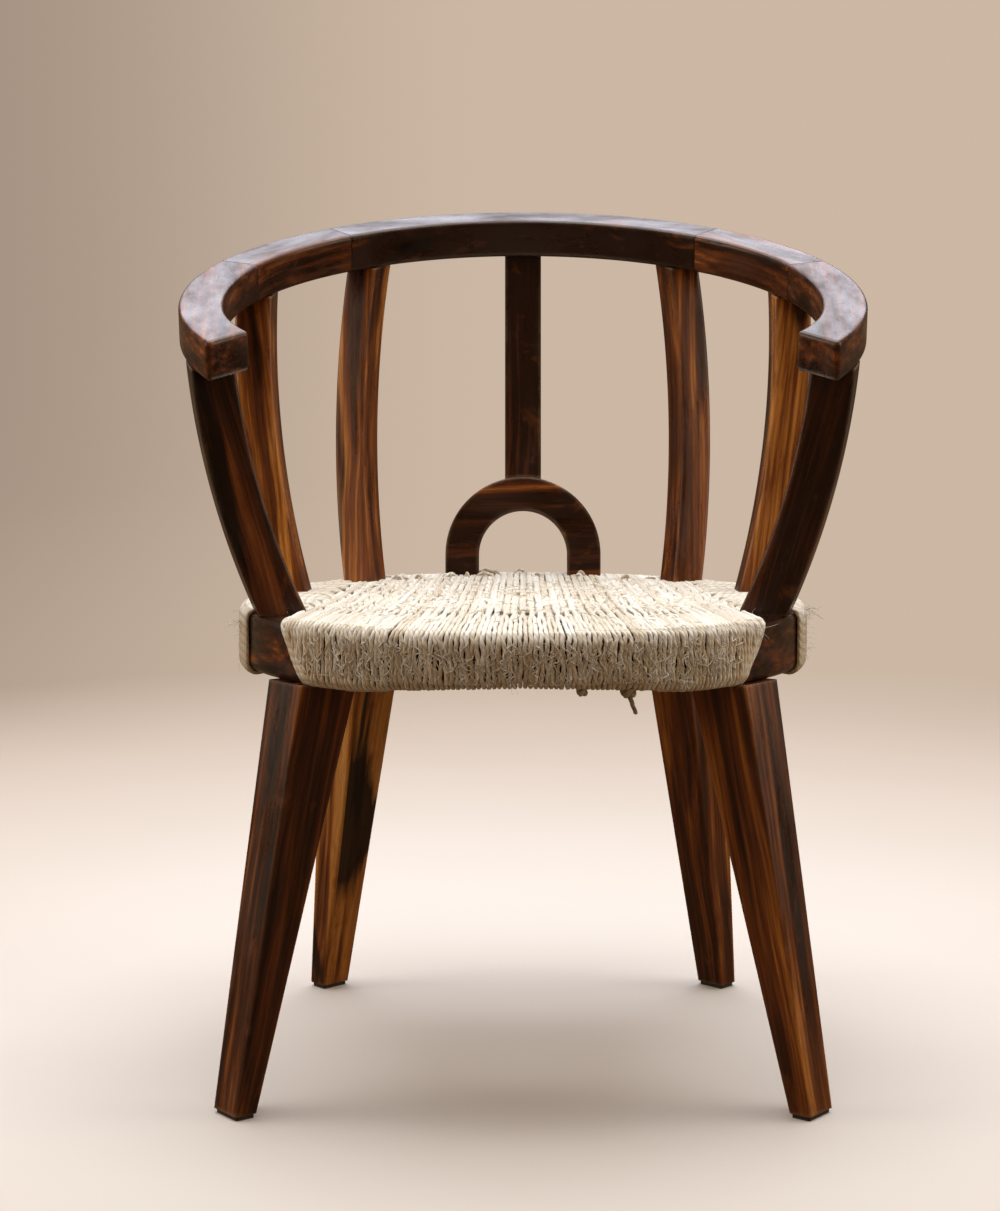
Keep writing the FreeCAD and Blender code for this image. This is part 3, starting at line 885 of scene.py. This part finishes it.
def tie_end(cord):
    strands = Strands()
    middle = np.array(polar(knot_radius, knot_angle, knot_height))
    strands.tube(knot_path(knot_size) + middle, knot_cord, knot_tone, closed=True, sides=8)
    along = np.array([sine(tail_lean), 0.0, -cosine(tail_lean)])
    share = np.linspace(0, 1, tail_points)
    for start in tail_starts:
        turn = start + share * tail_twist
        swing = np.stack([np.cos(turn), np.sin(turn), share * 0], -1) * tail_swing
        path = middle + along * (share[:, None] * tail_length) + swing
        strands.tube(path, np.linspace(*tail_radius, tail_points), tail_tone)
    for offset in tie_offsets:
        section = wrap_section(front_ring_depth)
        section[:, 0] += tie_proud
        wobble = wander(len(section), tie_wobble, tie_wobble_wave, face_spacing)
        low = section[:, 1] < -front_ring_depth / 2
        path = around(section[:, 0], np.radians(knot_angle + offset + wobble),
                      section[:, 1] - tie_proud * low)
        strands.tube(path[bend_points - 1:], tie_cord, tie_tone)
    made = strands.piece("cord_end_knot_tied", cord, seat_frame)
    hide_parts("cord_end_knot")


def tie_lump(cord):
    strands = Strands()
    middle = np.array(polar(knot_radius, lump_angle, lump_height))
    strands.tube(knot_path(lump_size) + middle, lump_cord, lump_tone, closed=True, sides=8)
    made = strands.piece("cord_lump_tied", cord, seat_frame)
    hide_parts("cord_lump")


# Loose fibres

fibre_radius = 0.00014
fibre_points = 8
fibre_length = (0.003, 0.008)
fibre_spread = 0.8
fibre_bend = 0.7
fibre_tone = 0.1
fibre_end_margin = 13.0
front_fibres = 420
side_fibres = 110
top_fibres = 260

# Fibres that lie on the strands: on the winding's face, or on the seat
lying_fibres = 1300
lying_points = 6
lying_radius = 0.00028
lying_length = (0.004, 0.012)
lying_lift = 0.0002
lying_slant = 1.6
lying_on_face = 0.55
lying_reach = (-0.7, 0.97)
lying_narrowing = 0.34
lying_aside = 0.004
lying_sink = 0.8
lying_tone = 1.2

# Tufts: their angle, their height and the number of their fibres
tufts = ((149.2, -0.040, 9), (101.5, 0.001, 11), (-100.5, -0.010, 6), (128.0, -0.004, 5))
tuft_length = 0.015
tuft_spread = 0.8
tuft_thickness = 1.6

# Short thin yarns that curl over the winding's face
squiggles = 170
squiggle_points = 12
squiggle_radius = 0.00050
squiggle_length = (0.006, 0.018)
squiggle_curl = 0.9
squiggle_turn = 1.2
squiggle_lift = 0.0004
squiggle_tone = 0.8
squiggle_margin = 6.0

low_angle = front_wrap_angle + fibre_end_margin
cord_surface = ring_outer + cord_rest + cord_radius


def loose_fibre(strands, start, outward, length, radius=fibre_radius):
    """A fine hair that leaves the cord and bends."""
    side = np.array([dice.uniform(-1, 1), dice.uniform(-1, 1), dice.uniform(-1, 0.6)])
    direction = outward + side * fibre_spread
    direction /= np.linalg.norm(direction)
    bend = np.array([dice.uniform(-1, 1), dice.uniform(-1, 1), dice.uniform(-1.2, 0.2)])
    share = np.linspace(0, 1, fibre_points)[:, None]
    path = start + (direction * share + bend * fibre_bend * share ** 2) * length
    strands.tube(path, np.linspace(radius, radius / 2, fibre_points), fibre_tone, sides=4)


def squiggle(strands, angle):
    """A short thin yarn that has come loose and curls over the winding's face."""
    share = np.linspace(0, 1, squiggle_points)
    length = dice.uniform(*squiggle_length)
    start = dice.uniform(-front_ring_depth + length, -ring_edge / 2)
    curl = wander(squiggle_points, squiggle_curl, length, length / squiggle_points)
    turned = np.radians(angle + curl + dice.uniform(-squiggle_turn, squiggle_turn) * share)
    reach = cord_surface + squiggle_lift * np.sin(share * np.pi)
    path = around(reach, turned, start - length * share)
    strands.tube(path, squiggle_radius, dice.random() * squiggle_tone, sides=5)


def lying_fibre(strands):
    """A short fibre that lies nearly along the strands, on the seat or on the winding's face."""
    share = np.linspace(0, 1, lying_points)
    angle = dice.uniform(low_angle, 360 - low_angle)
    slant = dice.uniform(-lying_slant, lying_slant)
    length = dice.uniform(*lying_length)
    lift = lying_lift * np.sin(share * np.pi)
    if dice.random() < lying_on_face:
        top = dice.uniform(-front_ring_depth, -ring_edge)
        turned = np.radians(angle + slant * share)
        height = np.maximum(top - length * share, -front_ring_depth)
        path = around(cord_surface + lift, turned, height)
    else:
        reach = dice.uniform(*lying_reach)
        x = polar(ring_outer, angle).x * (1 - lying_narrowing + lying_narrowing * reach)
        y = -ring_outer * reach
        height = deck_height(x, y) + cord_radius * lying_sink + lift
        path = np.stack([x + slant * lying_aside * share, y + length * share, height], -1)
    strands.tube(path, lying_radius, dice.random() * lying_tone, sides=4)


def fray(cord):
    strands = Strands()
    for index in range(lying_fibres):
        lying_fibre(strands)
    for index in range(front_fibres):
        angle = dice.uniform(low_angle, 360 - low_angle)
        start = np.array(polar(cord_surface, angle, dice.uniform(-front_ring_depth, 0.0)))
        loose_fibre(strands, start, np.array(polar(1.0, angle)), dice.uniform(*fibre_length))
    for index in range(side_fibres):
        angle = dice.uniform(side_wrap_back, side_wrap_front) * dice.choice((-1, 1))
        start = np.array(polar(cord_surface, angle, dice.uniform(-ring_depth, 0.0)))
        loose_fibre(strands, start, np.array(polar(1.0, angle)), dice.uniform(*fibre_length))
    for index in range(top_fibres):
        angle, reach = dice.uniform(0, 360), ring_outer * math.sqrt(dice.random())
        start = np.array(polar(reach, angle, cord_rest + cord_radius - deck_sag / 2))
        loose_fibre(strands, start, np.array([0.0, 0.0, 0.6]), dice.uniform(*fibre_length))
    for angle, height, number in tufts:
        for index in range(number):
            aside = dice.uniform(-tuft_spread, tuft_spread)
            start = np.array(polar(cord_surface, angle + aside, height))
            length = tuft_length * dice.uniform(0.5, 1.0)
            outward = np.array(polar(0.8, angle))
            loose_fibre(strands, start, outward, length, fibre_radius * tuft_thickness)
    for index in range(squiggles):
        squiggle(strands, dice.uniform(low_angle - squiggle_margin,
                                       360 + squiggle_margin - low_angle))
    strands.piece("cord_loose_fibres", cord, seat_frame)


# Loops of cord that stand up on the back of the seat

loop_count = 26
loop_height = 0.0050
loop_length = 0.017
loop_points = 13
loop_turn = 70.0
loop_shares = (0.5, 1.0)
loop_thickness = (0.6, 0.9)


def raised_loops(cord):
    strands = Strands()
    for index in range(loop_count):
        angle = dice.uniform(-back_wrap_angle, back_wrap_angle)
        middle = np.array(polar(dice.uniform(ring_inner, ring_outer - ring_edge), angle))
        along = np.array(polar(1.0, angle + dice.uniform(-loop_turn, loop_turn)))
        share = np.linspace(-1, 1, loop_points)
        length = loop_length * dice.uniform(*loop_shares) / 2
        height = cord_rest + loop_height * dice.uniform(*loop_shares) * (1 - share ** 2)
        path = middle + along * (share[:, None] * length)
        path[:, 2] = height
        strands.tube(path, cord_radius * dice.uniform(*loop_thickness), dice.random())
    strands.piece("cord_raised_loops", cord, seat_frame)


# Stage, lights and camera

wall_radius = 4.6
wall_height = 3.4
wall_sides = 96
cove_radius = 0.5
cove_steps = 8
floor_reach = 0.5
floor_blend = 1.45
floor_cloud = 0.3
floor_cloud_scale = 1.4
wall_colour = (0.60, 0.475, 0.37)
shaded_wall_colour = (0.385, 0.29, 0.225)
shaded_wall_reach = 1.35
floor_glow = (0.100, 0.085, 0.075)
floor_colour = (0.575, 0.54, 0.51)
far_floor_colour = (0.44, 0.375, 0.32)

warm_light = (1.0, 0.92, 0.80)
plain_light = (0.965, 0.985, 1.0)
cool_light = (0.84, 0.87, 1.0)
amber_light = (1.0, 0.82, 0.58)
seat_middle = (0.0, 0.0, 0.4)
back_middle = (0.0, 0.0, 0.6)

# Each light's place, target, width, height, power and colour
lights = {
    "top_light": ((0.0, 0.35, 2.6), seat_middle, 2.6, 2.0, 88.0, plain_light),
    "back_light": ((0.0, 2.9, 2.5), back_middle, 3.8, 1.5, 54.0, cool_light),
    "left_light": ((-2.6, -0.1, 1.3), seat_middle, 1.4, 1.8, 27.0, warm_light),
    "right_light": ((2.6, -0.1, 1.3), seat_middle, 1.4, 1.8, 27.0, warm_light),
    "front_light": ((0.0, -2.4, 2.3), seat_middle, 2.0, 1.0, 10.0, amber_light),
}
air_colour = (1.0, 0.63, 0.36, 1.0)
air_strength = 0.185


def studio_material():
    """A pale floor that turns into the wall's colour away from the chair."""
    made = Nodes("studio_paint")
    place = made.add("ShaderNodeTexCoord").outputs["Object"]
    reach = made.add("ShaderNodeVectorMath", {0: place}, operation="LENGTH").outputs["Value"]
    cloud = made.noise(place, floor_cloud_scale, 2.0)
    reach = made.math("SUBTRACT", reach, floor_cloud / 2)
    reach = made.math("MULTIPLY_ADD", cloud, floor_cloud, reach)
    share = made.math("DIVIDE", made.math("SUBTRACT", reach, floor_reach), floor_blend)
    share = made.add("ShaderNodeClamp", {0: share}).outputs[0]
    paint = made.ramp(share, [(0.0, floor_colour), (0.6, far_floor_colour), (1.0, (0.0, 0.0, 0.0))])
    aside = made.add("ShaderNodeSeparateXYZ", {0: place}).outputs[0]
    aside = made.math("DIVIDE", made.math("ADD", aside, shaded_wall_reach), shaded_wall_reach)
    wall = made.ramp(aside, [(0.0, shaded_wall_colour), (1.0, wall_colour)], "EASE")
    rise = made.ramp(share, [(0.6, 0.0), (1.0, 1.0)])
    glow = made.mix(rise, (*floor_glow, 1.0), wall)
    shader = made.add("ShaderNodeBsdfPrincipled", {
        "Base Color": paint,
        "Roughness": 0.9,
        "Specular IOR Level": 0.0,
        "Emission Color": glow,
        "Emission Strength": 1.0,
    })
    return made.finish(shader)


def make_stage():
    """A pale floor that turns up into a round wall far from the chair."""
    section = [(0.0, 0.0), (wall_radius - cove_radius, 0.0)]
    for step in range(1, cove_steps + 1):
        turn = 90.0 * step / cove_steps
        section.append((wall_radius - cove_radius + cove_radius * sine(turn),
                        cove_radius - cove_radius * cosine(turn)))
    section.append((wall_radius, wall_height))
    points, faces = [], []
    for step in range(wall_sides):
        for radius, height in section:
            points.append(polar(radius, 360.0 * step / wall_sides, height))
    rows = len(section)
    for step in range(wall_sides):
        following = (step + 1) % wall_sides
        for row in range(rows - 1):
            faces.append((step * rows + row, following * rows + row,
                          following * rows + row + 1, step * rows + row + 1))
    mesh = bpy.data.meshes.new("studio")
    mesh.from_pydata(points, [], faces)
    mesh.shade_smooth()
    mesh.materials.append(studio_material())
    made = bpy.data.objects.new("studio", mesh)
    made.visible_diffuse = False
    made.visible_glossy = False
    bpy.context.scene.collection.objects.link(made)


def area_light(name, place, target, width, height, power, colour):
    data = bpy.data.lights.new(name, "AREA")
    data.shape = "RECTANGLE"
    data.size = width
    data.size_y = height
    data.energy = power
    data.color = colour
    made = bpy.data.objects.new(name, data)
    made.location = place
    made.rotation_euler = (Vector(target) - Vector(place)).to_track_quat("-Z", "Y").to_euler()
    made.visible_camera = False
    bpy.context.scene.collection.objects.link(made)
    return made


def make_lights():
    """Large soft lights and warm air. The front light only fills, and the polish hides it."""
    made = {name: area_light(name, *values) for name, values in lights.items()}
    made["front_light"].visible_glossy = False
    world = bpy.data.worlds.new("studio_air")
    world.use_nodes = True
    background = world.node_tree.nodes["Background"]
    background.inputs[0].default_value = air_colour
    background.inputs[1].default_value = air_strength
    bpy.context.scene.world = world


def set_picture():
    """Plain display colours, so that the dark wood stays deep and the cord stays pale."""
    bpy.context.scene.view_settings.view_transform = "Standard"


def make_camera():
    data = bpy.data.cameras.new("camera")
    data.sensor_fit = "AUTO"
    data.sensor_width = camera_sensor
    data.lens = camera_focus / picture_height * camera_sensor
    data.shift_x = -camera_sideways / picture_height
    made = bpy.data.objects.new("camera", data)
    made.location = camera_place
    made.rotation_euler = (math.radians(90.0 - camera_pitch), 0.0, 0.0)
    bpy.context.scene.collection.objects.link(made)
    bpy.context.scene.camera = made


set_picture()
make_camera()
dress_wood()
dress_pads()
cord = cord_material("seat_cord", cord_cream, cord_tan)
dark_cord = cord_material("tied_cord", cord_tan, cord_brown)
wind_seat(cord)
tie_end(dark_cord)
tie_lump(dark_cord)
raised_loops(cord)
fray(cord)
make_stage()
make_lights()
